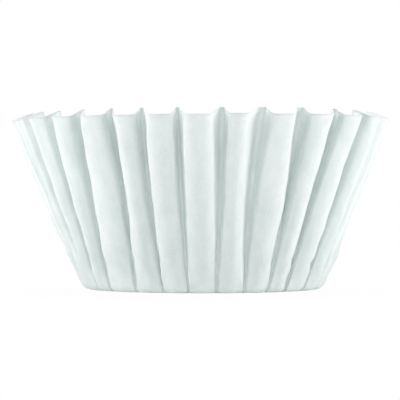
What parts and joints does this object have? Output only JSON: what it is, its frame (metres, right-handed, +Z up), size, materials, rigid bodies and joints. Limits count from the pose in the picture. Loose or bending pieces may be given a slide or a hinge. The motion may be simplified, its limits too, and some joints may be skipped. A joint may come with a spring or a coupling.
{
  "type": "paper coffee filter",
  "caption": "Open paper cup with a flat round base and a flared, fluted wall, pressed from a flat disc; it lines the brew basket of a drip coffee maker.",
  "frame": {"origin": "centre of the flat base's underside", "axes": "+Z up through the open mouth, -Y towards the front, +X to the right as seen from the front"},
  "size_m": [0.1325, 0.1327, 0.0613],
  "materials": {
    "filter_paper": "bleached filter paper, matt, with a fine fibrous grain"
  },
  "bodies": {
    "root": {"filter_paper": "filter_paper"}
  },
  "joints": []
}
